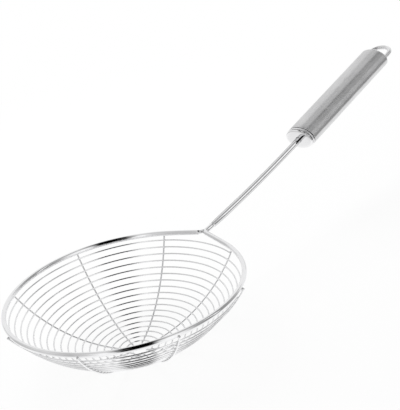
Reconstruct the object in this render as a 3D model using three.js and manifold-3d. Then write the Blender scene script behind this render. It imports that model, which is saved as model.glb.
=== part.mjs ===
// Wire skimmer: a spiral wire bowl on eight ribs, hung from a thick rim wire,
// with a rod stem and a hollow oval handle that ends in a hanging loop.
// Millimetres, +Z up, +X from the bowl towards the handle.
import * as THREE from 'three';
import { mergeVertices } from 'three/addons/utils/BufferGeometryUtils.js';
import Module from 'manifold-3d';

// Driving dimensions
const FIT_GAP = 0.3; // clearance between pieces that are welded or pushed together

const RIM_RADIUS = 80.6; // rim centreline
const RIM_WIRE = 3.5; // wire diameter
const NECK_STANDOFF = 4.4; // neck's corner out past the rim's centreline
const NECK_LIFT = 1.4; // neck's corner above the rim's plane
const NECK_BEND = 2.5; // length of each side of the bend at the corner
const NECK_TAIL = 6; // wire's straight end past the bend, in line with the stem

const BOWL_DEPTH = 46; // rim plane down to the ribs' lowest centreline
const RIB_COUNT = 8;
const RIB_WIRE = 1.2;
const RIB_OVERHANG = 0.8; // rib end past its weld under the rim

const SPIRAL_WIRE = 0.9;
const SPIRAL_PITCH = 4.9; // between turns, along the bowl wall
const SPIRAL_DROP = 3.4; // weld under the rim down to the first turn, along the bowl wall
const EYE_RADIUS = 6.8; // open centre of the bowl
const EYE_MARGIN = 0.8; // ribs run this far inside the last turn

const STEM_ROD = 4.2;
const STEM_LENGTH = 109.2; // rim wire's tail to handle, along the rod
const STEM_INSERT = 22; // rod inside the handle
const NECK_RISE = THREE.MathUtils.degToRad(7.5); // rod's slope at the neck
const HANDLE_RISE = THREE.MathUtils.degToRad(12.5); // handle's slope

const HANDLE_WIDTH = 24.8; // oval section, across
const HANDLE_HEIGHT = 16.8; // oval section, up
const HANDLE_LENGTH = 113.9; // front cap's nose to the rear dome's foot
const HANDLE_WALL = 1;
const EDGE_BREAK = 0.3; // chamfer on the tube and cap edges

const CAP_NOSE = 3.7; // front cap's dome, ahead of its lip
const CAP_STEP = 0.5; // dome's foot in from the lip
const CAP_LIP = 2.4;
const PLUG_DEPTH = 8; // front cap's skirt inside the tube
const PLUG_WALL = 1;
const REAR_LIP = 1.2;
const REAR_PLUG = 4; // rear cap's plug inside the tube
const REAR_DOME = 2.4;

const LOOP_WIRE = 3.5;
const LOOP_INSET = 3.8; // handle's side in to a leg's centreline
const LOOP_REACH = 17.9; // loop's outer end past the rear dome's foot
const LOOP_INSERT = 10; // legs inside the handle, from the rear dome's foot

// Facet counts
const SPIRAL_SIDES = 6;
const RIB_SIDES = 8;
const ROD_SIDES = 12;
const TURN_STEPS = 24;
const RIB_STEPS = 12;
const RING_STEPS = 72;
const BEND_STEPS = 6;
const STEM_STEPS = 14;
const LOOP_STEPS = 26;
const ROUND_SEGMENTS = 40;
const DOME_POINTS = 6;
const MERGE_DISTANCE = 1e-4; // mesh corners this close become one

// Bowl: the ribs lie on a sphere that passes just outside the rim wire,
// and the spiral lies on a smaller sphere inside the ribs.
const ribToRim = RIM_WIRE / 2 + FIT_GAP + RIB_WIRE / 2;
const bowlRise = BOWL_DEPTH - ribToRim;
const sphereHeight = (RIM_RADIUS ** 2 - bowlRise ** 2) / (2 * bowlRise);
const ribSphere = sphereHeight + BOWL_DEPTH;
const spiralSphere = ribSphere - RIB_WIRE / 2 - FIT_GAP - SPIRAL_WIRE / 2;
const rimAngle = Math.atan2(RIM_RADIUS, sphereHeight);
const ribSpacing = (2 * Math.PI) / RIB_COUNT;

// Stem: a shallow arc in the XZ plane, from the rim wire's tail to the handle
const neckReach = RIM_RADIUS + NECK_STANDOFF;
const tailReach = NECK_BEND + NECK_TAIL;
const stemReach = tailReach + FIT_GAP;
const stemRadius = STEM_LENGTH / (HANDLE_RISE - NECK_RISE);
const stemStart = new THREE.Vector2(
  neckReach + stemReach * Math.cos(NECK_RISE),
  NECK_LIFT + stemReach * Math.sin(NECK_RISE),
);
const stemCentre = new THREE.Vector2(
  stemStart.x - stemRadius * Math.sin(NECK_RISE),
  stemStart.y + stemRadius * Math.cos(NECK_RISE),
);
const handleStart = new THREE.Vector2(
  stemCentre.x + stemRadius * Math.sin(HANDLE_RISE),
  stemCentre.y - stemRadius * Math.cos(HANDLE_RISE),
);

// Handle: distances along its axis from the front cap's nose
const halfWidth = HANDLE_WIDTH / 2;
const plugInset = HANDLE_WALL + FIT_GAP;
const lipEnd = CAP_NOSE + CAP_LIP;
const tubeStart = lipEnd + FIT_GAP;
const rearLipStart = HANDLE_LENGTH - REAR_LIP;
const tubeEnd = rearLipStart - FIT_GAP;
const loopWidth = HANDLE_WIDTH - 2 * LOOP_INSET;

const polished = { color: 0xd8d9da, roughness: 0.12, metalness: 1 };
const satin = { color: 0xa9aaab, roughness: 0.42, metalness: 1 };

// A plane drawing turned into a space curve, stepped evenly along its length
class PlaneCurve extends THREE.Curve {
  constructor(drawing, across, up) {
    super();
    this.drawing = drawing;
    this.across = across;
    this.up = up;
  }

  getPoint(t) {
    const point = this.drawing.getPoint(t);
    return new THREE.Vector3()
      .addScaledVector(this.across, point.x)
      .addScaledVector(this.up, point.y);
  }

  getUtoTmapping(u) {
    return u;
  }
}

// Curves joined end to end, each with its own number of steps
class SteppedPath extends THREE.Curve {
  constructor(pieces) {
    super();
    this.pieces = pieces;
    this.steps = pieces.reduce((sum, piece) => sum + piece.steps, 0);
  }

  getPoint(t) {
    let step = t * this.steps;
    let index = 0;
    while (index < this.pieces.length - 1 && step > this.pieces[index].steps) {
      step -= this.pieces[index].steps;
      index += 1;
    }
    const { curve, steps } = this.pieces[index];
    return curve.getPoint(step / steps);
  }

  getUtoTmapping(u) {
    return u;
  }
}

// The bowl's spiral, stepped evenly by angle from the top turn down to the eye
class BowlSpiral extends THREE.Curve {
  constructor(startAzimuth, topArc, pitch, turns) {
    super();
    this.startAzimuth = startAzimuth;
    this.topArc = topArc;
    this.pitch = pitch;
    this.turns = turns;
  }

  getPoint(t) {
    const turn = t * this.turns;
    const azimuth = this.startAzimuth + turn * 2 * Math.PI;
    const polar = (this.topArc - turn * this.pitch) / spiralSphere;
    const reach = spiralSphere * Math.sin(polar);
    return new THREE.Vector3(
      reach * Math.cos(azimuth),
      reach * Math.sin(azimuth),
      sphereHeight - spiralSphere * Math.cos(polar),
    );
  }

  getUtoTmapping(u) {
    return u;
  }
}

const axisX = new THREE.Vector3(1, 0, 0);
const axisY = new THREE.Vector3(0, 1, 0);
const axisZ = new THREE.Vector3(0, 0, 1);

function roundSection(diameter, sides) {
  const corners = [];
  for (let i = 0; i < sides; i += 1) {
    const angle = (i / sides) * 2 * Math.PI;
    corners.push(new THREE.Vector2(Math.cos(angle), Math.sin(angle)).multiplyScalar(diameter / 2));
  }
  return new THREE.Shape(corners);
}

function wireAlong(path, diameter, sides, steps) {
  return new THREE.ExtrudeGeometry(roundSection(diameter, sides), { extrudePath: path, steps });
}

// Cap outlines are drawn as [half width, distance along the handle], turned about the handle's axis
// and flattened to the oval
function ovalTurned(outline) {
  const points = outline.map(([reach, along]) => new THREE.Vector2(reach, along));
  return new THREE.LatheGeometry(points, ROUND_SEGMENTS)
    .rotateZ(-Math.PI / 2)
    .scale(1, 1, HANDLE_HEIGHT / HANDLE_WIDTH);
}

// A straight length of the handle's oval, set in from its outer surface
function ovalBar(inset, from, to, edgeBreak) {
  const section = new THREE.Shape();
  section.absellipse(0, 0, halfWidth - inset, HANDLE_HEIGHT / 2 - inset, 0, 2 * Math.PI, false, 0);
  const bar = new THREE.ExtrudeGeometry(section, {
    depth: to - from - 2 * edgeBreak,
    curveSegments: ROUND_SEGMENTS / 2,
    bevelEnabled: edgeBreak > 0,
    bevelThickness: edgeBreak,
    bevelSize: edgeBreak,
    bevelOffset: -edgeBreak,
    bevelSegments: 1,
  });
  bar.translate(0, 0, from + edgeBreak);
  return bar.applyMatrix4(new THREE.Matrix4().makeBasis(axisY, axisZ, axisX));
}

function named(name, geometry, finish) {
  const mesh = new THREE.Mesh(geometry, new THREE.MeshStandardMaterial(finish));
  mesh.name = name;
  return mesh;
}

const wasm = await Module();
wasm.setup();

function toSolid(geometry) {
  const bare = geometry.clone();
  bare.deleteAttribute('normal');
  bare.deleteAttribute('uv');
  const merged = mergeVertices(bare, MERGE_DISTANCE);
  return new wasm.Manifold(new wasm.Mesh({
    numProp: 3,
    vertProperties: Float32Array.from(merged.attributes.position.array),
    triVerts: Uint32Array.from(merged.index.array),
  }));
}

function toGeometry(solid) {
  const mesh = solid.getMesh();
  const geometry = new THREE.BufferGeometry();
  geometry.setAttribute('position', new THREE.BufferAttribute(mesh.vertProperties, mesh.numProp));
  geometry.setIndex(new THREE.BufferAttribute(mesh.triVerts, 1));
  geometry.computeVertexNormals();
  return geometry;
}

// Rim: one wire. From both sides its ring runs out straight to the neck's corner, a little above
// the ring's plane. One end turns there into a short tail in line with the stem, and the other end
// is cut off beside the turn.
function rimWire() {
  const tangent = Math.acos(RIM_RADIUS / neckReach);
  const ring = new THREE.Path();
  ring.absarc(0, 0, RIM_RADIUS, tangent, 2 * Math.PI - tangent, false);
  const corner = new THREE.Vector3(neckReach, 0, NECK_LIFT);
  const left = new THREE.Vector3(Math.cos(tangent), Math.sin(tangent), 0).multiplyScalar(RIM_RADIUS);
  const right = left.clone().setY(-left.y);
  const toLeft = left.clone().sub(corner).normalize();
  const toRight = right.clone().sub(corner).normalize();
  const toStem = new THREE.Vector3(Math.cos(NECK_RISE), 0, Math.sin(NECK_RISE));
  const fromCorner = (direction, distance) => corner.clone().addScaledVector(direction, distance);
  const cutEnd = fromCorner(toLeft, RIM_WIRE / 2 + FIT_GAP);
  const bendStart = fromCorner(toRight, NECK_BEND);
  const bendEnd = fromCorner(toStem, NECK_BEND);
  const tailEnd = fromCorner(toStem, tailReach);
  const path = new SteppedPath([
    { curve: new THREE.LineCurve3(cutEnd, left), steps: 1 },
    { curve: new PlaneCurve(ring, axisX, axisY), steps: RING_STEPS },
    { curve: new THREE.LineCurve3(right, bendStart), steps: 1 },
    { curve: new THREE.QuadraticBezierCurve3(bendStart, corner, bendEnd), steps: BEND_STEPS },
    { curve: new THREE.LineCurve3(bendEnd, tailEnd), steps: 1 },
  ]);
  return wireAlong(path, RIM_WIRE, ROD_SIDES, path.steps);
}

// Rib: an arc on the outer sphere, from the eye to just past the rim
function rib() {
  const innerAngle = Math.asin((EYE_RADIUS - EYE_MARGIN) / ribSphere);
  const outerAngle = rimAngle + RIB_OVERHANG / ribSphere;
  const arc = new THREE.Path();
  arc.absarc(0, sphereHeight, ribSphere, innerAngle - Math.PI / 2, outerAngle - Math.PI / 2, false);
  return wireAlong(new PlaneCurve(arc, axisX, axisZ), RIB_WIRE, RIB_SIDES, RIB_STEPS);
}

// Spiral: starts on the rib to the right of the neck and ends on a rib at the eye
function spiralPath() {
  const topArc = spiralSphere * rimAngle - SPIRAL_DROP;
  const eyeArc = spiralSphere * Math.asin(EYE_RADIUS / spiralSphere);
  const ribsPassed = Math.round(((topArc - eyeArc) / SPIRAL_PITCH) * RIB_COUNT);
  const turns = ribsPassed / RIB_COUNT;
  return new BowlSpiral(-ribSpacing / 2, topArc, (topArc - eyeArc) / turns, turns);
}

// Least clear gap between neighbouring turns of the spiral, on its own step points
function leastTurnGap(path) {
  const points = path.getPoints(Math.round(path.turns * TURN_STEPS));
  let least = Infinity;
  for (let i = 0; i < points.length; i += 1) {
    for (let j = i + TURN_STEPS / 2; j < points.length; j += 1) {
      least = Math.min(least, points[i].distanceTo(points[j]));
    }
  }
  return least - SPIRAL_WIRE;
}

function stemRod() {
  const line = new THREE.Path();
  line.absarc(
    stemCentre.x,
    stemCentre.y,
    stemRadius,
    NECK_RISE - Math.PI / 2,
    HANDLE_RISE - Math.PI / 2,
    false,
  );
  line.lineTo(
    handleStart.x + STEM_INSERT * Math.cos(HANDLE_RISE),
    handleStart.y + STEM_INSERT * Math.sin(HANDLE_RISE),
  );
  return wireAlong(new PlaneCurve(line, axisX, axisZ), STEM_ROD, ROD_SIDES, STEM_STEPS);
}

// Quarter of an ellipse from the edge of an oval to the axis, as cap outline points
function domeOutline(reach, foot, rise) {
  const outline = [];
  for (let i = 0; i < DOME_POINTS; i += 1) {
    const angle = ((i / DOME_POINTS) * Math.PI) / 2;
    outline.push([reach * Math.cos(angle), foot + rise * Math.sin(angle)]);
  }
  outline.push([0, foot + rise]);
  return outline;
}

// Front cap: a dome and a lip, with a skirt inside the tube and a hole for the stem
function frontCap() {
  const nose = domeOutline(halfWidth - CAP_STEP, CAP_NOSE, -CAP_NOSE).reverse();
  const head = toSolid(ovalTurned([
    ...nose,
    [halfWidth - EDGE_BREAK, CAP_NOSE],
    [halfWidth, CAP_NOSE + EDGE_BREAK],
    [halfWidth, lipEnd - EDGE_BREAK],
    [halfWidth - EDGE_BREAK, lipEnd],
    [0, lipEnd],
  ]));
  const skirtStart = lipEnd - CAP_LIP / 2;
  const skirt = toSolid(ovalBar(plugInset, skirtStart, lipEnd + PLUG_DEPTH, 0));
  const bore = toSolid(ovalBar(plugInset + PLUG_WALL, lipEnd, lipEnd + PLUG_DEPTH + FIT_GAP, 0));
  const reach = STEM_ROD / 2 + FIT_GAP;
  const hole = new THREE.CylinderGeometry(reach, reach, 2 * tubeStart, ROUND_SEGMENTS).rotateZ(Math.PI / 2);
  return toGeometry(head.add(skirt.subtract(bore)).subtract(toSolid(hole)));
}

function handleTube() {
  const bar = toSolid(ovalBar(0, tubeStart, tubeEnd, EDGE_BREAK));
  const bore = toSolid(ovalBar(HANDLE_WALL, tubeStart - FIT_GAP, tubeEnd + FIT_GAP, 0));
  return toGeometry(bar.subtract(bore));
}

// Hanging loop: two legs joined by a half round bend, lying flat across the handle
function loopWire(diameter) {
  const legStart = HANDLE_LENGTH - LOOP_INSERT;
  const bendCentre = HANDLE_LENGTH + LOOP_REACH - LOOP_WIRE / 2 - loopWidth / 2;
  const line = new THREE.Path();
  line.moveTo(legStart, -loopWidth / 2);
  line.lineTo(bendCentre, -loopWidth / 2);
  line.absarc(bendCentre, 0, loopWidth / 2, -Math.PI / 2, Math.PI / 2, false);
  line.lineTo(legStart, loopWidth / 2);
  return wireAlong(new PlaneCurve(line, axisX, axisY), diameter, ROD_SIDES, LOOP_STEPS);
}

// Rear cap: a low dome with a plug inside the tube, bored for the loop's legs
function rearCap() {
  const head = toSolid(ovalTurned([
    [0, rearLipStart],
    [halfWidth - EDGE_BREAK, rearLipStart],
    [halfWidth, rearLipStart + EDGE_BREAK],
    ...domeOutline(halfWidth, HANDLE_LENGTH, REAR_DOME),
  ]));
  const plug = toSolid(ovalBar(plugInset, rearLipStart - REAR_PLUG, HANDLE_LENGTH, 0));
  const legs = toSolid(loopWire(LOOP_WIRE + 2 * FIT_GAP));
  return toGeometry(head.add(plug).subtract(legs));
}

const skimmer = new THREE.Group();
skimmer.add(named('rim_wire', rimWire(), polished));
for (let i = 0; i < RIB_COUNT; i += 1) {
  const wire = named(`rib_${i + 1}`, rib(), polished);
  wire.rotation.z = (i + 0.5) * ribSpacing;
  skimmer.add(wire);
}
const spiral = spiralPath();
const spiralSteps = Math.round(spiral.turns * TURN_STEPS);
skimmer.add(named('spiral_wire', wireAlong(spiral, SPIRAL_WIRE, SPIRAL_SIDES, spiralSteps), polished));
console.log(`spiral: ${spiral.turns} turns, least gap between turns ${leastTurnGap(spiral).toFixed(2)} mm`);
skimmer.add(named('stem_rod', stemRod(), polished));

const handle = new THREE.Group();
handle.position.set(handleStart.x, 0, handleStart.y);
handle.rotation.y = -HANDLE_RISE;
handle.add(named('front_cap', frontCap(), polished));
handle.add(named('handle_tube', handleTube(), satin));
handle.add(named('rear_cap', rearCap(), satin));
handle.add(named('hanging_loop', loopWire(LOOP_WIRE), polished));
skimmer.add(handle);

// The origin is under the middle of the whole skimmer, level with the bowl's lowest point
skimmer.updateMatrixWorld(true);
const box = new THREE.Box3().setFromObject(skimmer, true);
skimmer.position.set(-(box.min.x + box.max.x) / 2, -(box.min.y + box.max.y) / 2, -box.min.z);

export default skimmer;
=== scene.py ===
import math

import bpy
import numpy as np
from mathutils import Matrix, Vector


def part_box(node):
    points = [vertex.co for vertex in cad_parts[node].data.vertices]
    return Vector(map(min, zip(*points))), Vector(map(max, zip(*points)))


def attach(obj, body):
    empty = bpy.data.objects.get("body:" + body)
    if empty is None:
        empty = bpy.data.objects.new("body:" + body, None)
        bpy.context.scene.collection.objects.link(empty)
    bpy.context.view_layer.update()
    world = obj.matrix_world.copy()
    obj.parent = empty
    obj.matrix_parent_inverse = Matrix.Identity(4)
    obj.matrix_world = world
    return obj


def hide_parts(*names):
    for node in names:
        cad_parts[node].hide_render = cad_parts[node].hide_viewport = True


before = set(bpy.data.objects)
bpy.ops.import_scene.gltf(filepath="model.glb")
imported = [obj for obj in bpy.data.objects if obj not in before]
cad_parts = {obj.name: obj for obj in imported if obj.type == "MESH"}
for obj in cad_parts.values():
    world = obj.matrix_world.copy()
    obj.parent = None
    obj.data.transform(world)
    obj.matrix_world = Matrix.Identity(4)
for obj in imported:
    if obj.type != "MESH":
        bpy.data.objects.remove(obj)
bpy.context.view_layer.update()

MM = 0.001
TURN = 2 * math.pi
QUARTER = math.pi / 2

# Sizes of the part in millimetres, as its solids have them
FIT_GAP = 0.3
RIM_RADIUS = 80.6
RIM_WIRE = 3.5
NECK_STANDOFF = 4.4
NECK_LIFT = 1.4
NECK_BEND = 2.5
NECK_TAIL = 6.0
BOWL_DEPTH = 46.0
RIB_COUNT = 8
RIB_WIRE = 1.2
RIB_OVERHANG = 0.8
SPIRAL_WIRE = 0.9
SPIRAL_PITCH = 4.9
SPIRAL_DROP = 3.4
EYE_RADIUS = 6.8
EYE_MARGIN = 0.8
STEM_ROD = 4.2
STEM_LENGTH = 109.2
NECK_RISE = math.radians(7.5)
HANDLE_RISE = math.radians(12.5)
HANDLE_WIDTH = 24.8
HANDLE_HEIGHT = 16.8
HANDLE_LENGTH = 113.9
HANDLE_WALL = 1.0
CAP_NOSE = 3.7
CAP_STEP = 0.5
CAP_LIP = 2.4
REAR_LIP = 1.2
REAR_DOME = 2.4
LOOP_WIRE = 3.5
LOOP_INSET = 3.8
LOOP_REACH = 17.9

# Bowl and neck, as the scene refines them: the lift is eased over a longer stretch of the rim,
# the tail is a little thicker than the ring, and the stem is thinner where it meets the tail
KEEP_IN = 0.04
LIFT_REACH = 62.0
CUT_AWAY = 4.6
TAIL_SWELL = 0.22
SPIRAL_SWELL = 0.09
STEM_SWELL = 0.1
TAPER_REACH = 14.0
INSERT_START = 0.5
STEM_INSERT = 6.0

# Welds: half axes along, across and out of the wire
CROSSING_WELD = 0.62, 0.6, 0.42
RIM_WELD = 1.25, 0.95, 0.55
JOINT_WELD = 0.7, 1.9, 1.9
BRIDGE_OVERLAP = 0.6
BRIDGE_LIFT = 0.1
BRIDGE_FOOT = 0.3, 0.7, 0.7
BRIDGE_RADIUS = 1.5
BRIDGE_WAIST = 0.25
WAIST_POWER = 0.7
# Painted dark reflections on the neck's welds: how far along, where they sit and their half axes
CUT_DARK_REFLECTION_AWAY = 0.3
CUT_DARK_REFLECTION = (-0.45, -0.1, 1.15), (0.8, 0.9, 0.6)
BEND_DARK_REFLECTION = (-1.2, 1.3, 0.75), (0.4, 0.45, 0.5)
JOINT_DARK_REFLECTION = (1.35, 0.95), (0.7, 0.5, 0.5)

# Handle, as the scene refines it: the front cap has a flat face with a square edge and two grooves
# with painted shade on their floors, and a ring of painted shade round the stem
FACE_SET = 1.8
NOSE_POWER = 7
NOSE_EYE = 0.02
GROOVE = 0.55
GROOVE_DEPTH = 1.1
GROOVE_SLOPE = 0.05
LIP_INSET = 0.05
LIP_ROUND = 0.4
PLUG_INSERT = 2.0
GROOVE_SHADE_START = 0.03
GROOVE_SHADE_RISE = 0.5
GROOVE_SHADE_ROOT = 0.1
GROOVE_SHADE_SLOPE = 0.04
GROOVE_SHADE_MARGIN = 0.06
RING_IN = STEM_ROD / 2 - 0.3
RING_OUT = STEM_ROD / 2 + 0.35
RING_FACE = -0.06, -0.03, 0.3, 0.35
TUBE_EDGE = 0.35
TUBE_CLEARANCE = 0.02
REAR_EDGE = 0.4
DOME_SHARE = 0.985
LEG_INSERT = 1.0

# Wire ends, rounded by a share of the radius, the least sideways share of a path that is not
# upright, and the angles in degrees above which the edges of a mesh stay sharp
END_ROUND = 0.35
TAIL_END_ROUND = 0.6
STEM_END_ROUND = 0.1
END_SHARE = 0.94
END_STEPS = 5
UPRIGHT = 0.1
SHARP_OVAL = 35
SHARP_WIRE = 60
SHARP_WELD = 80

# Sides round each piece and steps along it
RIM_SIDES = 24
RIB_SIDES = 12
SPIRAL_SIDES = 10
STEM_SIDES = 32
BRIDGE_SIDES = 20
CAP_SIDES = 96
RING_SIDES = 48
GRIP_SIDES = 128
LOOP_SIDES = 24
FLOOR_SIDES = 128
HALF_RING_STEPS = 200
BEND_STEPS = 24
TAIL_STEPS = 6
RIB_STEPS = 72
STEPS_A_TURN = 110
STEM_STEPS = 80
INSERT_STEPS = 16
BRIDGE_STEPS = 15
NOSE_STEPS = 30
LIP_STEPS = 13
EDGE_STEPS = 6
GRIP_STEPS = 40
DOME_STEPS = 22
LEG_STEPS = 14
LOOP_STEPS = 48


def rise(angle):
    """The up direction of a line that climbs along +X at an angle."""
    return np.array([-math.sin(angle), 0, math.cos(angle)])


# Values that follow from the sizes
rib_to_rim = RIM_WIRE / 2 + FIT_GAP + RIB_WIRE / 2
bowl_rise = BOWL_DEPTH - rib_to_rim
sphere_height = (RIM_RADIUS ** 2 - bowl_rise ** 2) / (2 * bowl_rise)
sphere_centre = np.array([0, 0, sphere_height])
rib_sphere = sphere_height + BOWL_DEPTH
spiral_sphere = rib_sphere - RIB_WIRE / 2 - FIT_GAP - SPIRAL_WIRE / 2
rim_angle = math.atan2(RIM_RADIUS, sphere_height)
rib_spacing = TURN / RIB_COUNT
neck_reach = RIM_RADIUS + NECK_STANDOFF
tangent_angle = math.acos(RIM_RADIUS / neck_reach)
branch_length = RIM_RADIUS * math.tan(tangent_angle)
half_ring = branch_length + RIM_RADIUS * (math.pi - tangent_angle)
tail_reach = NECK_BEND + NECK_TAIL
corner = np.array([neck_reach, 0, NECK_LIFT])
to_stem = np.array([math.cos(NECK_RISE), 0, math.sin(NECK_RISE)])
stem_up = rise(NECK_RISE)
stem_arc = STEM_LENGTH / (HANDLE_RISE - NECK_RISE)
stem_start = corner + (tail_reach + FIT_GAP) * to_stem
stem_centre = stem_start + stem_arc * stem_up
handle_along = np.array([math.cos(HANDLE_RISE), 0, math.sin(HANDLE_RISE)])
handle_across = np.array([0.0, 1.0, 0.0])
handle_up = rise(HANDLE_RISE)
handle_start = stem_centre - stem_arc * handle_up
half_width = HANDLE_WIDTH / 2 - KEEP_IN
half_height = HANDLE_HEIGHT / 2 - KEEP_IN
lip_end = CAP_NOSE + CAP_LIP
tube_start = lip_end + FIT_GAP
rear_lip_start = HANDLE_LENGTH - REAR_LIP
loop_half = HANDLE_WIDTH / 2 - LOOP_INSET
loop_centre = HANDLE_LENGTH + LOOP_REACH - LOOP_WIRE / 2 - loop_half - KEEP_IN

# The rim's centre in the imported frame, which is the origin of all points below
rim_low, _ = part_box("rim_wire")
rim_centre = np.array([
    rim_low.x / MM + RIM_RADIUS + RIM_WIRE / 2, 0, rim_low.z / MM + RIM_WIRE / 2])


# Places on the part

def on_handle(along, across, up):
    return handle_start + along * handle_along + across * handle_across + up * handle_up


def on_sphere(radius, polar, azimuth):
    return np.array([
        radius * math.sin(polar) * math.cos(azimuth),
        radius * math.sin(polar) * math.sin(azimuth),
        sphere_height - radius * math.cos(polar)])


def on_rim(away, side):
    """Point of the rim wire at a distance along it from the corner, side 1 left and -1 right."""
    if away < branch_length:
        angle = tangent_angle - math.atan2(branch_length - away, RIM_RADIUS)
        reach = math.hypot(branch_length - away, RIM_RADIUS)
    else:
        angle = tangent_angle + (away - branch_length) / RIM_RADIUS
        reach = RIM_RADIUS
    lift = NECK_LIFT * math.cos(QUARTER * min(away / LIFT_REACH, 1)) ** 2
    return np.array([reach * math.cos(angle), side * reach * math.sin(angle), lift])


def scaled(share, along):
    return (half_width * share, half_height * share, along)


def inset(depth, along):
    return (half_width - depth, half_height - depth, along)


def unit(v):
    return v / np.linalg.norm(v, axis=-1, keepdims=True)


# Meshes

def new_piece(name, points, faces, uvs, material, sharp):
    mesh = bpy.data.meshes.new(name)
    mesh.from_pydata([tuple((p + rim_centre) * MM) for p in points], [], faces)
    layer = mesh.uv_layers.new(name="UVMap")
    layer.data.foreach_set("uv", np.array(uvs, np.float32).ravel())
    mesh.polygons.foreach_set("use_smooth", [True] * len(mesh.polygons))
    mesh.set_sharp_from_angle(angle=math.radians(sharp))
    mesh.materials.append(material)
    mesh.validate()
    mesh.update()
    piece = bpy.data.objects.new(name, mesh)
    bpy.context.scene.collection.objects.link(piece)
    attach(piece, "root")
    return piece


def grid_mesh(name, rings, lengths, girths, material, sharp):
    """A skin over rings of points, closed round each ring, capped at both ends.
    UVs are millimetres along the skin and round it."""
    count, sides = rings.shape[:2]
    faces, uvs = [], []
    for i in range(count - 1):
        near, far = i * sides, (i + 1) * sides
        for j in range(sides):
            k = (j + 1) % sides
            faces.append((near + j, near + k, far + k, far + j))
            v0, v1 = j / sides, (j + 1) / sides
            uvs += [(lengths[i], v0 * girths[i]), (lengths[i], v1 * girths[i]),
                    (lengths[i + 1], v1 * girths[i + 1]), (lengths[i + 1], v0 * girths[i + 1])]
    for i in (0, count - 1):
        ring = [i * sides + j for j in range(sides)]
        faces.append(tuple(ring[::-1] if i == 0 else ring))
        uvs += [(lengths[i], j / sides * girths[i]) for j in range(sides)]
    return new_piece(name, rings.reshape(-1, 3), faces, uvs, material, sharp)


def tube(name, path, radius, sides, material, end_round=END_ROUND):
    """A round wire along a path, with rounded cut ends. The radius is one, or one a point."""
    path = np.asarray(path, float)
    radii = np.broadcast_to(np.asarray(radius, float), len(path))
    tangents = unit(np.gradient(path, axis=0))
    side = np.cross(tangents[0], [0.0, 0.0, 1.0])
    if np.linalg.norm(side) < UPRIGHT:
        side = np.cross(tangents[0], [0.0, 1.0, 0.0])
    side = unit(side)
    ends = [(math.cos(a), math.sin(a)) for a in np.linspace(0, QUARTER * END_SHARE, END_STEPS)[1:]]
    stations = [(path[0] - tangents[0] * radii[0] * end_round * s, tangents[0], radii[0] * c)
                for c, s in ends[::-1]]
    stations += list(zip(path, tangents, radii))
    stations += [(path[-1] + tangents[-1] * radii[-1] * end_round * s, tangents[-1], radii[-1] * c)
                 for c, s in ends]
    angles = np.arange(sides) / sides * TURN
    rings, lengths = [], []
    travelled, last = 0.0, stations[0][0]
    for centre, tangent, reach in stations:
        side = unit(side - tangent * (side @ tangent))
        up = np.cross(tangent, side)
        spread = np.cos(angles)[:, None] * side + np.sin(angles)[:, None] * up
        rings.append(centre + reach * spread)
        travelled += float(np.linalg.norm(centre - last))
        last = centre
        lengths.append(travelled)
    girths = [TURN * radii.max()] * len(rings)
    return grid_mesh(name, np.array(rings), lengths, girths, material, SHARP_WIRE)


def oval_piece(name, outline, sides, material):
    """Oval rings along the handle: each is (half width, half height, distance along)."""
    angles = np.arange(sides) / sides * TURN
    rings, lengths, girths = [], [], []
    travelled, last = 0.0, None
    for wide, high, along in outline:
        rings.append([on_handle(along, wide * math.cos(a), high * math.sin(a)) for a in angles])
        here = np.array([wide, along])
        travelled += 0.0 if last is None else float(np.linalg.norm(here - last))
        last = here
        lengths.append(travelled)
        girths.append(math.pi * (wide + high))
    return grid_mesh(name, np.array(rings), lengths, girths, material, SHARP_OVAL)


def blobs(name, spots, material, rings=7, sides=12):
    """Small rounded weld beads: each spot is a centre with three half axes."""
    points, faces, uvs = [], [], []
    for centre, a, b, c in spots:
        base = len(points)
        for i in range(rings + 1):
            polar = math.pi * (i + 0.5) / (rings + 1)
            for j in range(sides):
                turn = j / sides * TURN
                points.append(centre + a * math.cos(polar)
                              + math.sin(polar) * (b * math.cos(turn) + c * math.sin(turn)))
        for i in range(rings):
            near, far = base + i * sides, base + (i + 1) * sides
            for j in range(sides):
                k = (j + 1) % sides
                faces.append((near + j, far + j, far + k, near + k))
                uvs += [(i, j), (i + 1, j), (i + 1, j + 1), (i, j + 1)]
        top = [base + j for j in range(sides)]
        low = [base + rings * sides + j for j in range(sides)][::-1]
        faces += [tuple(top), tuple(low)]
        uvs += [(0, j) for j in range(sides)] + [(rings, j) for j in range(sides)]
    return new_piece(name, points, faces, uvs, material, SHARP_WELD)


# Materials: lines along the piece and a faint cloud, mixed, set colour, roughness and relief
LINE_SHARE = 0.65
CLOUD_SHARE = 0.35
CLOUD_SCALE = 60.0
TINT_FROM, TINT_TO = 0.35, 0.65
GLOSS_FROM, GLOSS_TO = 0.3, 0.7
RELIEF_DEPTH = 0.00005
BRUSHED = 0.9
EDGE_SHADE_TINT = 0.35


def add(tree, kind, inputs=None, **settings):
    """A new shader node with its settings and the values of its inputs."""
    made = tree.nodes.new("ShaderNode" + kind)
    for key, setting in settings.items():
        setattr(made, key, setting)
    for key, default in (inputs or {}).items():
        made.inputs[key].default_value = default
    return made


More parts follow.
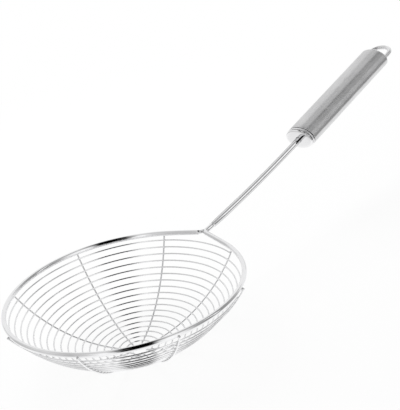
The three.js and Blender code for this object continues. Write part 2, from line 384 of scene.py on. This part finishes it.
def steel(name, dark, light, smooth, rough, stretch, grain, bump):
    """Steel with fine lines along the piece. Returns the material and its shader."""
    material = bpy.data.materials.new(name)
    material.use_nodes = True
    tree, link = material.node_tree, material.node_tree.links.new
    shader = tree.nodes["Principled BSDF"]
    shader.inputs["Metallic"].default_value = 1.0
    uv = add(tree, "UVMap", uv_map="UVMap")
    lines_map = add(tree, "Mapping", {"Scale": (stretch, grain, 1.0)})
    link(uv.outputs["UV"], lines_map.inputs["Vector"])
    lines = add(tree, "TexNoise", {"Scale": 1.0, "Detail": 4.0, "Roughness": 0.6})
    link(lines_map.outputs["Vector"], lines.inputs["Vector"])
    place = add(tree, "TexCoord")
    cloud = add(tree, "TexNoise", {"Scale": CLOUD_SCALE, "Detail": 3.0})
    link(place.outputs["Object"], cloud.inputs["Vector"])
    share = add(tree, "Math", {1: CLOUD_SHARE}, operation="MULTIPLY")
    link(cloud.outputs["Fac"], share.inputs[0])
    both = add(tree, "Math", {1: LINE_SHARE}, operation="MULTIPLY_ADD")
    link(lines.outputs["Fac"], both.inputs[0])
    link(share.outputs[0], both.inputs[2])
    tint = add(tree, "ValToRGB")
    for element, position, colour in zip(
            tint.color_ramp.elements, (TINT_FROM, TINT_TO), (dark, light)):
        element.position = position
        element.color = (*colour, 1.0)
    link(both.outputs[0], tint.inputs["Fac"])
    link(tint.outputs["Color"], shader.inputs["Base Color"])
    gloss = add(tree, "MapRange", {
        "From Min": GLOSS_FROM, "From Max": GLOSS_TO, "To Min": smooth, "To Max": rough})
    link(both.outputs[0], gloss.inputs["Value"])
    link(gloss.outputs["Result"], shader.inputs["Roughness"])
    relief = add(tree, "Bump", {"Strength": bump, "Distance": RELIEF_DEPTH})
    link(lines.outputs["Fac"], relief.inputs["Height"])
    link(relief.outputs["Normal"], shader.inputs["Normal"])
    return material, shader


FINE = dict(stretch=0.15, grain=3.0, bump=0.05)
polished, _ = steel("polished_steel", dark=(0.78, 0.78, 0.79), light=(0.88, 0.88, 0.885),
                    smooth=0.05, rough=0.11, **FINE)
satin, satin_shader = steel("satin_steel", dark=(0.57, 0.57, 0.575), light=(0.76, 0.76, 0.765),
                            smooth=0.25, rough=0.34, stretch=0.16, grain=1.6, bump=0.3)
stem_steel, stem_shader = steel("stem_steel", dark=(0.74, 0.74, 0.75), light=(0.83, 0.83, 0.835),
                                smooth=0.07, rough=0.12, **FINE)
# The loop's steel is rougher than the polished steel, and its lighter colour is painted light on
# the loop
loop_steel_painted_light, _ = steel("loop_steel_painted_light", dark=(0.84, 0.84, 0.85), light=(0.93, 0.93, 0.935),
                      smooth=0.34, rough=0.42, **FINE)
weld, _ = steel("weld_steel", dark=(0.62, 0.62, 0.63), light=(0.80, 0.80, 0.80),
                smooth=0.16, rough=0.32, stretch=0.6, grain=0.9, bump=0.3)
# A dark steel that paints shade in the cap's grooves and round the stem, and paints dark
# reflections on the welds
painted_dark, _ = steel("painted_shade_and_reflection", dark=(0.03, 0.03, 0.032), light=(0.16, 0.16, 0.165),
                 smooth=0.3, rough=0.5, stretch=0.8, grain=1.5, bump=0.4)

# The handle is brushed along its length; a grey edge tint paints shade on the stem's edges
satin_shader.inputs["Anisotropic"].default_value = BRUSHED
brush_way = add(satin.node_tree, "Tangent", direction_type="UV_MAP", uv_map="UVMap")
satin.node_tree.links.new(brush_way.outputs["Tangent"], satin_shader.inputs["Tangent"])
stem_shader.inputs["Specular Tint"].default_value = (EDGE_SHADE_TINT, EDGE_SHADE_TINT, EDGE_SHADE_TINT, 1.0)

# Rim wire: from both sides the ring runs out to the neck's corner and rises a little on the way.
# One end bends there into a short tail in line with the stem, the other is cut off beside it.
rim_path = [on_rim(away, 1) for away in np.linspace(CUT_AWAY, half_ring, HALF_RING_STEPS)]
rim_path += [on_rim(away, -1) for away in np.linspace(half_ring, NECK_BEND, HALF_RING_STEPS)[1:]]
ring_end = len(rim_path) - 1
bend_start, bend_end = rim_path[-1], corner + NECK_BEND * to_stem
for t in np.linspace(0, 1, BEND_STEPS + 1)[1:]:
    rim_path.append(bend_start * (1 - t) ** 2 + corner * 2 * t * (1 - t) + bend_end * t ** 2)
rim_path += [corner + s * to_stem for s in np.linspace(NECK_BEND, tail_reach, TAIL_STEPS + 1)[1:]]
to_tail = np.clip((np.arange(len(rim_path)) - ring_end) / BEND_STEPS, 0, 1)
rim_radii = RIM_WIRE / 2 - KEEP_IN / 4 + TAIL_SWELL * to_tail
rim = tube("rim_wire_round", rim_path, rim_radii, RIM_SIDES, polished,
           TAIL_END_ROUND)
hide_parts("rim_wire")

# Ribs: arcs on the outer sphere, from the eye to just past the rim
inner_angle = math.asin((EYE_RADIUS - EYE_MARGIN) / rib_sphere)
outer_angle = rim_angle + RIB_OVERHANG / rib_sphere
rib_azimuths = [(i + 0.5) * rib_spacing for i in range(RIB_COUNT)]
for i, azimuth in enumerate(rib_azimuths):
    path = [on_sphere(rib_sphere, polar, azimuth)
            for polar in np.linspace(inner_angle, outer_angle, RIB_STEPS)]
    rib = tube(f"rib_round_{i + 1}", path, RIB_WIRE / 2, RIB_SIDES, polished)
    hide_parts(f"rib_{i + 1}")

# Spiral: one wire from under the rim down to the eye
top_arc = spiral_sphere * rim_angle - SPIRAL_DROP
eye_arc = spiral_sphere * math.asin(EYE_RADIUS / spiral_sphere)
ribs_passed = round((top_arc - eye_arc) / SPIRAL_PITCH * RIB_COUNT)
turns = ribs_passed / RIB_COUNT
pitch = (top_arc - eye_arc) / turns


def spiral_angles(turn):
    """Polar angle and azimuth of the spiral after so many turns."""
    return (top_arc - turn * pitch) / spiral_sphere, turn * TURN - rib_spacing / 2


spiral_path = [on_sphere(spiral_sphere, *spiral_angles(turn))
               for turn in np.linspace(0, turns, int(turns * STEPS_A_TURN))]
spiral = tube("spiral_round", spiral_path, SPIRAL_WIRE / 2 + SPIRAL_SWELL, SPIRAL_SIDES,
              polished)
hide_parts("spiral_wire")


# Weld spots where the ribs cross the spiral and the rim

def weld_spot(radius, polar, azimuth, halves):
    outward = unit(on_sphere(1.0, polar, azimuth) - sphere_centre)
    round_axis = np.array([-math.sin(azimuth), math.cos(azimuth), 0])
    down_axis = np.cross(outward, round_axis)
    along, across, out = halves
    return on_sphere(radius, polar, azimuth), down_axis * along, round_axis * across, outward * out


crossing_sphere = spiral_sphere + SPIRAL_WIRE / 2 + FIT_GAP / 2
touching_sphere = rib_sphere - RIB_WIRE / 2 - FIT_GAP / 2
spots = [weld_spot(crossing_sphere, *spiral_angles(step / RIB_COUNT), CROSSING_WELD)
         for step in range(ribs_passed + 1)]
spots += [weld_spot(touching_sphere, rim_angle, azimuth, RIM_WELD) for azimuth in rib_azimuths]
blobs("weld_spots", spots, weld)

# Stem: a shallow arc that runs on straight into the handle, a little thinner at the neck
stem_path = [stem_centre - stem_arc * rise(angle)
             for angle in np.linspace(NECK_RISE, HANDLE_RISE, STEM_STEPS)]
stem_path += [handle_start + handle_along * s
              for s in np.linspace(INSERT_START, lip_end + STEM_INSERT, INSERT_STEPS)]
from_neck = np.arange(len(stem_path)) * STEM_LENGTH / STEM_STEPS
far_off = np.clip(from_neck / TAPER_REACH, 0, 1)
stem_radii = (RIM_WIRE + (STEM_ROD - RIM_WIRE) * far_off * (2 - far_off)) / 2 + STEM_SWELL
stem = tube("stem_round", stem_path, stem_radii, STEM_SIDES, stem_steel,
            STEM_END_ROUND)
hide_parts("stem_rod")


# Welds at the neck: a bridge from the cut end to the bend, a bead on tail and stem, and dark spots
# of painted reflection

def neck_spot(centre, halves):
    along, across, up = halves
    return centre, to_stem * along, handle_across * across, stem_up * up


bridge_start = on_rim(CUT_AWAY + BRIDGE_OVERLAP, 1) + [0, 0, BRIDGE_LIFT]
bridge_end = corner + BRIDGE_FOOT
bridge_shares = np.linspace(0, 1, BRIDGE_STEPS)
bridge_path = [bridge_start * (1 - t) + bridge_end * t for t in bridge_shares]
bridge_radii = [BRIDGE_RADIUS - BRIDGE_WAIST * math.sin(math.pi * t) ** WAIST_POWER
                for t in bridge_shares]
tube("neck_bridge", bridge_path, bridge_radii, BRIDGE_SIDES, weld)
joint = corner + (tail_reach + FIT_GAP / 2) * to_stem
blobs("neck_weld", [neck_spot(joint, JOINT_WELD)], weld, rings=16, sides=28)
joint_dark_reflection = joint + handle_across * JOINT_DARK_REFLECTION[0][0] + stem_up * JOINT_DARK_REFLECTION[0][1]
# Dark spots painted on the welds as reflections
blobs("painted_weld_reflections", [
    neck_spot(on_rim(CUT_AWAY - CUT_DARK_REFLECTION_AWAY, 1) + CUT_DARK_REFLECTION[0], CUT_DARK_REFLECTION[1]),
    neck_spot(corner + BEND_DARK_REFLECTION[0], BEND_DARK_REFLECTION[1]),
    neck_spot(joint_dark_reflection, JOINT_DARK_REFLECTION[1]),
], painted_dark, rings=10, sides=16)

# Front cap: the face, a groove, a rounded lip and a second groove, each groove with painted shade
# on its floor
nose = []
for r in np.sin(np.linspace(NOSE_EYE, QUARTER, NOSE_STEPS)):
    drop = (1 - r ** NOSE_POWER) ** (1 / NOSE_POWER)
    nose.append(((half_width - CAP_STEP) * r, (half_height - CAP_STEP) * r,
                 CAP_NOSE - (CAP_NOSE - FACE_SET) * drop))
lip_start, lip_stop = CAP_NOSE + GROOVE, lip_end - GROOVE + FIT_GAP
lip_middle, lip_half = (lip_start + lip_stop) / 2, (lip_stop - lip_start) / 2
lip = [inset(LIP_INSET + LIP_ROUND * (1 - math.cos(a)), lip_middle + lip_half * math.sin(a))
       for a in np.linspace(-QUARTER, QUARTER, LIP_STEPS)]
front_outline = [
    *nose,
    inset(GROOVE_DEPTH, CAP_NOSE + GROOVE_SLOPE), inset(GROOVE_DEPTH, lip_start - GROOVE_SLOPE),
    *lip,
    inset(GROOVE_DEPTH, lip_stop + GROOVE_SLOPE), inset(GROOVE_DEPTH, tube_start + PLUG_INSERT)]
front = oval_piece("front_cap_round", front_outline, CAP_SIDES, polished)
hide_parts("front_cap")
# Painted shade: a dark sheet on the floor of each groove
for i, groove_start in enumerate((CAP_NOSE, lip_stop)):
    s = groove_start + GROOVE_SHADE_START
    oval_piece(f"painted_groove_shade_{i + 1}", [
        inset(GROOVE_DEPTH + GROOVE_SHADE_ROOT, s),
        inset(GROOVE_DEPTH - GROOVE_SHADE_RISE, s + GROOVE_SHADE_SLOPE),
        inset(GROOVE_DEPTH - GROOVE_SHADE_RISE, s + GROOVE - GROOVE_SHADE_MARGIN - GROOVE_SHADE_SLOPE),
        inset(GROOVE_DEPTH + GROOVE_SHADE_ROOT, s + GROOVE - GROOVE_SHADE_MARGIN),
    ], CAP_SIDES, painted_dark)

# Painted shade: a dark ring in the clearance where the stem goes into the cap's face
oval_piece("stem_painted_shade_ring", [
    (reach, reach, FACE_SET + s)
    for reach, s in zip((RING_IN, RING_OUT, RING_OUT, RING_IN), RING_FACE)
], RING_SIDES, painted_dark)

# Handle tube and rear cap
tube_outline = [inset(HANDLE_WALL, tube_start)]
for a in np.linspace(0, QUARTER, EDGE_STEPS):
    tube_outline.append(
        inset(TUBE_EDGE * (1 - math.sin(a)), tube_start + TUBE_EDGE * (1 - math.cos(a))))
for s in np.linspace(tube_start + TUBE_EDGE, rear_lip_start - TUBE_CLEARANCE, GRIP_STEPS)[1:]:
    tube_outline.append(inset(0.0, s))
grip = oval_piece("handle_tube_round", tube_outline, GRIP_SIDES, satin)
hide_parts("handle_tube")

rear_outline = [inset(0.0, rear_lip_start), inset(0.0, HANDLE_LENGTH - REAR_EDGE)]
for a in np.linspace(0.0, QUARTER * DOME_SHARE, DOME_STEPS):
    rear_outline.append(scaled(math.cos(a), HANDLE_LENGTH + REAR_DOME * math.sin(a)))
rear = oval_piece("rear_cap_round", rear_outline, GRIP_SIDES, satin)
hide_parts("rear_cap")

# Hanging loop: a U of round wire, its legs set in the rear dome
leg = np.linspace(HANDLE_LENGTH - LEG_INSERT, loop_centre, LEG_STEPS)[:-1]
loop_path = [on_handle(s, -loop_half, 0) for s in leg]
for a in np.linspace(-QUARTER, QUARTER, LOOP_STEPS):
    loop_path.append(
        on_handle(loop_centre + loop_half * math.cos(a), loop_half * math.sin(a), 0))
loop_path += [on_handle(s, loop_half, 0) for s in leg[::-1]]
loop = tube("hanging_loop_round", loop_path, LOOP_WIRE / 2, LOOP_SIDES, loop_steel_painted_light,
            0.0)
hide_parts("hanging_loop")

# Camera: its place from the rim's centre in millimetres, and its right, down and forward
CAMERA_PLACE = np.array([-523.576, -603.567, 393.111])
CAMERA_RIGHT = Vector((0.631258, -0.752647, -0.187178))
CAMERA_DOWN = Vector((-0.419606, -0.128462, -0.898570))
CAMERA_FORWARD = Vector((0.652261, 0.645771, -0.396908))
SENSOR = 36.0
FOCAL_PIXELS = 1348.82
IMAGE_HEIGHT = 410
CLIP_NEAR, CLIP_FAR = 0.01, 100.0
camera_data = bpy.data.cameras.new("camera")
camera_data.sensor_width = SENSOR
camera_data.lens = FOCAL_PIXELS / IMAGE_HEIGHT * SENSOR
camera_data.clip_start = CLIP_NEAR
camera_data.clip_end = CLIP_FAR
camera = bpy.data.objects.new("camera", camera_data)
bpy.context.scene.collection.objects.link(camera)
turned = Matrix((CAMERA_RIGHT, -CAMERA_DOWN, -CAMERA_FORWARD)).transposed().to_4x4()
camera.matrix_world = Matrix.Translation(Vector((CAMERA_PLACE + rim_centre) * MM)) @ turned
bpy.context.scene.camera = camera

# Floor: a plain pale disc that fades into the white background
FLOOR_RADIUS = 0.55
FLOOR_DROP = 0.0005
FLOOR_COLOUR = (0.92, 0.92, 0.92, 1.0)
FADE_START = 0.25
WHITE_SHARE = 0.88
floor_mesh = bpy.data.meshes.new("floor")
floor_points = [(FLOOR_RADIUS * math.cos(a), FLOOR_RADIUS * math.sin(a), 0.0)
                for a in np.linspace(0, TURN, FLOOR_SIDES, endpoint=False)]
floor_mesh.from_pydata(floor_points, [], [tuple(range(FLOOR_SIDES))])
floor = bpy.data.objects.new("floor", floor_mesh)
bpy.context.scene.collection.objects.link(floor)
floor.location.z = -FLOOR_DROP
floor.visible_glossy = False

floor_material = bpy.data.materials.new("floor")
floor_material.use_nodes = True
tree, link = floor_material.node_tree, floor_material.node_tree.links.new
tree.nodes.clear()
pale = add(tree, "BsdfDiffuse", {"Color": FLOOR_COLOUR})
white = add(tree, "Emission")
rays = add(tree, "LightPath")
seen = add(tree, "Math", operation="MAXIMUM")
link(rays.outputs["Is Camera Ray"], seen.inputs[0])
link(rays.outputs["Is Glossy Ray"], seen.inputs[1])
place = add(tree, "TexCoord")
reach = add(tree, "VectorMath", operation="LENGTH")
link(place.outputs["Object"], reach.inputs[0])
fade = add(tree, "MapRange", {
    "From Min": FADE_START, "From Max": FLOOR_RADIUS, "To Min": WHITE_SHARE, "To Max": 1.0})
link(reach.outputs["Value"], fade.inputs["Value"])
share = add(tree, "Math", operation="MULTIPLY")
link(seen.outputs[0], share.inputs[0])
link(fade.outputs["Result"], share.inputs[1])
mix = add(tree, "MixShader")
link(share.outputs[0], mix.inputs["Fac"])
link(pale.outputs["BSDF"], mix.inputs[1])
link(white.outputs["Emission"], mix.inputs[2])
out = add(tree, "OutputMaterial")
link(mix.outputs["Shader"], out.inputs["Surface"])
floor_mesh.materials.append(floor_material)

# World: a white studio with a dark gap in front that runs on overhead, bright screens on both
# sides of the gap and a greyer right side. Directions are turned so that X points away from the
# gap. Light is set by the fan angle, the direction seen on a plan of the sky from a point low
# behind the object, so that each level wire shows one level. Stops are (fan angle in degrees,
# level), with the right side negative.
BACK_AZIMUTH = math.radians(48.5)
FAN_POINT = 0.918
SKY_STRENGTH = 1.3
OVERHEAD = [
    (-90, 0.7), (-50, 0.55), (-36, 0.5), (-31, 0.48), (-24, 0.52), (-16, 0.75), (-10, 0.4),
    (-7, 0.0), (6.5, 0.0), (10, 0.5), (15, 0.8), (22, 0.7), (32, 0.62), (45, 0.75), (60, 1.0),
    (90, 1.0)]
AROUND = [
    (-90, 0.85), (-68, 0.75), (-56, 0.43), (-44, 0.33), (-34, 0.31), (-29, 0.42), (-22, 1.0),
    (-15, 1.2), (-11, 1.0), (-7, 0.0), (6.5, 0.0), (10.5, 1.0), (16, 1.15), (22, 0.8), (30, 0.62),
    (42, 0.8), (52, 0.75), (63, 0.65), (70, 0.85), (76, 1.05), (90, 1.1)]
GROUND = [
    (-90, 1.05), (-60, 1.0), (-48, 0.95), (-40, 0.9), (-33, 0.9), (-24, 1.05), (-15, 1.2),
    (-10, 1.05), (-6, 0.15), (5, 0.15), (9.5, 1.05), (16, 1.15), (22, 0.9), (30, 0.65), (42, 0.75),
    (52, 0.8), (63, 0.7), (70, 0.75), (78, 0.9), (90, 1.1)]
DEEP = [
    (-90, 1.1), (-50, 1.1), (-38, 1.05), (-28, 1.05), (-15, 1.15), (-9, 1.1), (-4.5, 0.6), (3, 0.6),
    (7.5, 1.1), (18, 1.05), (28, 0.8), (40, 0.85), (52, 1.1), (90, 1.15)]
WEDGE_LEVEL = 0.1
BACK_LEVEL = 0.97
FAR_BACK_LEVEL = 0.96
BAND_LEVEL = 0.45
SEAM_LEVEL = 0.12
STRIP_LEVEL = 1.28
BELOW_LEVEL = 1.08
STRIP_AZIMUTH = math.radians(-51) - BACK_AZIMUTH

world = bpy.data.worlds.new("studio")
bpy.context.scene.world = world
world.use_nodes = True
tree, link = world.node_tree, world.node_tree.links.new
tree.nodes.clear()


def value(operation, first, second=0.0):
    made = add(tree, "Math", operation=operation)
    for socket, source in zip(made.inputs, (first, second)):
        if isinstance(source, (int, float)):
            socket.default_value = source
        else:
            link(source, socket)
    return made.outputs[0]


def area(*edges):
    """1 inside all the edges and 0 outside, smooth between. Each edge is (source, at 0, at 1)."""
    inside = 1.0
    for source, low, high in edges:
        step = add(tree, "MapRange", {"From Min": low, "From Max": high},
                   interpolation_type="SMOOTHSTEP")
        link(source, step.inputs["Value"])
        inside = value("MULTIPLY", step.outputs["Result"], inside)
    return inside


def grey(level):
    return (*[level / SKY_STRENGTH] * 3, 1.0)


def ramp(stops):
    """Levels by fan angle."""
    made = add(tree, "ValToRGB")
    elements = made.color_ramp.elements
    elements.remove(elements[-1])
    for i, (degrees, level) in enumerate(stops):
        position = (degrees + 90) / 180
        element = elements[0] if i == 0 else elements.new(position)
        element.position = position
        element.color = grey(level)
    link(fan_part.outputs["Result"], made.inputs["Fac"])
    return made.outputs["Color"]


def mixed(factor, first, second):
    made = add(tree, "Mix", data_type="RGBA")
    link(factor, made.inputs["Factor"])
    for socket, source in (("A", first), ("B", second)):
        if isinstance(source, float):
            made.inputs[socket].default_value = grey(source)
        else:
            link(source, made.inputs[socket])
    return made.outputs["Result"]


def turned_across(angle):
    """How far a direction lies to the left of the upright plane at an angle."""
    return value("SUBTRACT", value("MULTIPLY", left, math.cos(angle)),
                 value("MULTIPLY", back, math.sin(angle)))


look = add(tree, "TexCoord")
spin = add(tree, "VectorRotate", {"Angle": -BACK_AZIMUTH}, rotation_type="Z_AXIS")
link(look.outputs["Generated"], spin.inputs["Vector"])
split = add(tree, "SeparateXYZ")
link(spin.outputs["Vector"], split.inputs[0])
back, left, height = (split.outputs[axis] for axis in "XYZ")
fan = value("DEGREES", value("ARCTAN2", left, value("SUBTRACT", FAN_POINT, back)))
fan_part = add(tree, "MapRange", {"From Min": -90.0, "From Max": 90.0})
link(fan, fan_part.inputs["Value"])

# Ground, horizon and overhead, a wedge that widens the gap on the left, and a bright back
level = mixed(area((height, -0.36, -0.23)), ramp(GROUND), ramp(AROUND))
level = mixed(area((height, 0.6, 0.9)), level, ramp(OVERHEAD))
level = mixed(area((fan, 2, 5), (fan, 14, 9), (height, 0.4, 0.6), (height, 0.9, 0.75)),
              level, WEDGE_LEVEL)
level = mixed(area((back, 0.55, 0.75)), level, BACK_LEVEL)
level = mixed(area((back, 0.32, 0.55), (fan, -9, -14)), level, BACK_LEVEL)
level = mixed(area((back, 0.78, 0.92)), level, FAR_BACK_LEVEL)

# A low dark band on the left
level = mixed(area((height, 0.1, 0.15), (height, 0.27, 0.21), (left, 0.5, 0.58)),
              level, BAND_LEVEL)

# A narrow dark seam between the lights overhead, in line with the handle
seam_side = turned_across(-BACK_AZIMUTH)
seam_front = turned_across(-BACK_AZIMUTH - QUARTER)
level = mixed(area((seam_side, -0.085, -0.05), (seam_side, 0.08, 0.01),
                   (seam_front, 0.1, 0.25), (height, 0.35, 0.5)), level, SEAM_LEVEL)

# A tall strip light on the right
off_strip = value("ABSOLUTE", turned_across(STRIP_AZIMUTH))
level = mixed(area((off_strip, 0.08, 0.04), (left, -0.4, -0.5),
                   (height, 0.12, 0.24), (height, 0.78, 0.66)), level, STRIP_LEVEL)

# What lies below
level = mixed(area((height, -0.25, -0.5)), level, ramp(DEEP))
level = mixed(area((height, -0.5, -0.85)), level, BELOW_LEVEL)

studio = add(tree, "Background", {"Strength": SKY_STRENGTH})
link(level, studio.inputs["Color"])
backdrop = add(tree, "Background", {"Color": (1.0, 1.0, 1.0, 1.0)})
rays = add(tree, "LightPath")
mix = add(tree, "MixShader")
link(rays.outputs["Is Camera Ray"], mix.inputs["Fac"])
link(studio.outputs["Background"], mix.inputs[1])
link(backdrop.outputs["Background"], mix.inputs[2])
out = add(tree, "OutputWorld")
link(mix.outputs["Shader"], out.inputs["Surface"])

# A large soft lamp above, for the floor and its shadow
LAMP_AZIMUTH = math.radians(82)
LAMP_ELEVATION = math.radians(55)
LAMP_DISTANCE = 1.35
LAMP_SIZE = 0.9
LAMP_ENERGY = 11.0
lamp_data = bpy.data.lights.new("softbox", "AREA")
lamp_data.size = LAMP_SIZE
lamp_data.energy = LAMP_ENERGY
lamp = bpy.data.objects.new("softbox", lamp_data)
bpy.context.scene.collection.objects.link(lamp)
lamp_way = Vector((math.cos(LAMP_AZIMUTH) * math.cos(LAMP_ELEVATION),
                   math.sin(LAMP_AZIMUTH) * math.cos(LAMP_ELEVATION),
                   math.sin(LAMP_ELEVATION)))
lamp.location = lamp_way * LAMP_DISTANCE
lamp.rotation_euler = (-lamp_way).to_track_quat("-Z", "Y").to_euler()
lamp.visible_glossy = False

bpy.context.scene.view_settings.view_transform = "Standard"
